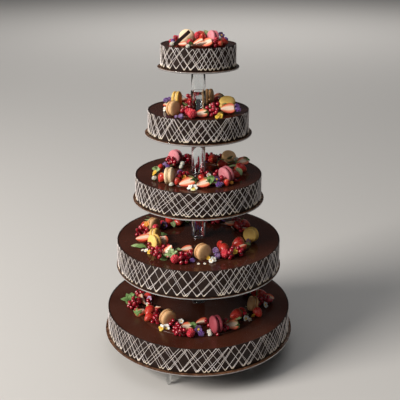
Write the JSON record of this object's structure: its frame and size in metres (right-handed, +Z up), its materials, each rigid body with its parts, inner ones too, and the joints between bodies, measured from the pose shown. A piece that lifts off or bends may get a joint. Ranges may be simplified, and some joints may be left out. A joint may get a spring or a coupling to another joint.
{
  "type": "tiered wedding cake on a clear stand",
  "caption": "Tall round tiered wedding cake: dark glazed cakes in white-latticed chocolate bands, topped with macarons, berries and flowers, on a clear tube stand.",
  "frame": {"origin": "on the table, under the middle of the stand", "axes": "+Z up through the tiers, -Y towards the front, +X to the right"},
  "size_m": [0.548, 0.548, 0.9306],
  "materials": {
    "clear_acrylic": "clear, polished",
    "chocolate_glaze": "mirror-smooth dark chocolate glaze",
    "chocolate_band": "satin dark chocolate",
    "white_chocolate": "satin piped white chocolate",
    "macaron_cream": "dry, matt baked shell",
    "macaron_yellow": "dry, matt baked shell",
    "macaron_pink": "dry, matt baked shell",
    "macaron_beige": "dry, matt baked shell",
    "strawberry": "moist, glossy skin with seeds",
    "small_fruit": "glossy, translucent berries",
    "leaf": "soft satin leaf",
    "white_petal": "soft matt petal",
    "violet_petal": "velvety matt petal",
    "yellow_petal": "soft matt petal",
    "dark_chocolate": "satin tempered dark chocolate"
  },
  "bodies": {
    "root": {"plate_1": "clear_acrylic", "cake_1": "chocolate_glaze", "collar_1": "chocolate_band", "tube_1": "clear_acrylic", "macaron_1_1": "macaron_cream", "macaron_1_2": "macaron_pink", "strawberry_1_1": "strawberry", "strawberry_1_2": "strawberry", "fruit_heap_1": "small_fruit", "plate_2": "clear_acrylic", "cake_2": "chocolate_glaze", "collar_2": "chocolate_band", "tube_2": "clear_acrylic", "macaron_2_1": "macaron_yellow", "macaron_2_2": "macaron_beige", "macaron_2_3": "macaron_yellow", "macaron_2_4": "macaron_beige", "strawberry_2_1": "strawberry", "strawberry_2_2": "strawberry", "strawberry_2_3": "strawberry", "fruit_heap_2": "small_fruit", "plate_3": "clear_acrylic", "cake_3": "chocolate_glaze", "collar_3": "chocolate_band", "tube_3": "clear_acrylic", "macaron_3_1": "macaron_pink", "macaron_3_2": "macaron_cream", "macaron_3_3": "macaron_pink", "macaron_3_4": "macaron_beige", "strawberry_3_1": "strawberry", "strawberry_3_2": "strawberry", "fruit_heap_3": "small_fruit", "plate_4": "clear_acrylic", "cake_4": "chocolate_glaze", "collar_4": "chocolate_band", "tube_4": "clear_acrylic", "macaron_4_1": "macaron_beige", "macaron_4_2": "macaron_yellow", "macaron_4_3": "macaron_yellow", "macaron_4_4": "macaron_beige", "macaron_4_5": "macaron_yellow", "strawberry_4_1": "strawberry", "strawberry_4_2": "strawberry", "fruit_heap_4": "small_fruit", "plate_5": "clear_acrylic", "cake_5": "chocolate_glaze", "collar_5": "chocolate_band", "macaron_5_1": "macaron_beige", "macaron_5_2": "macaron_pink", "macaron_5_3": "macaron_beige", "strawberry_5_1": "strawberry", "strawberry_5_2": "strawberry", "strawberry_5_3": "strawberry", "fruit_heap_5": "small_fruit", "foot_1": "clear_acrylic", "foot_2": "clear_acrylic", "foot_3": "clear_acrylic", "foot_4": "clear_acrylic", "foot_5": "clear_acrylic", "foot_6": "clear_acrylic"}
  },
  "joints": []
}
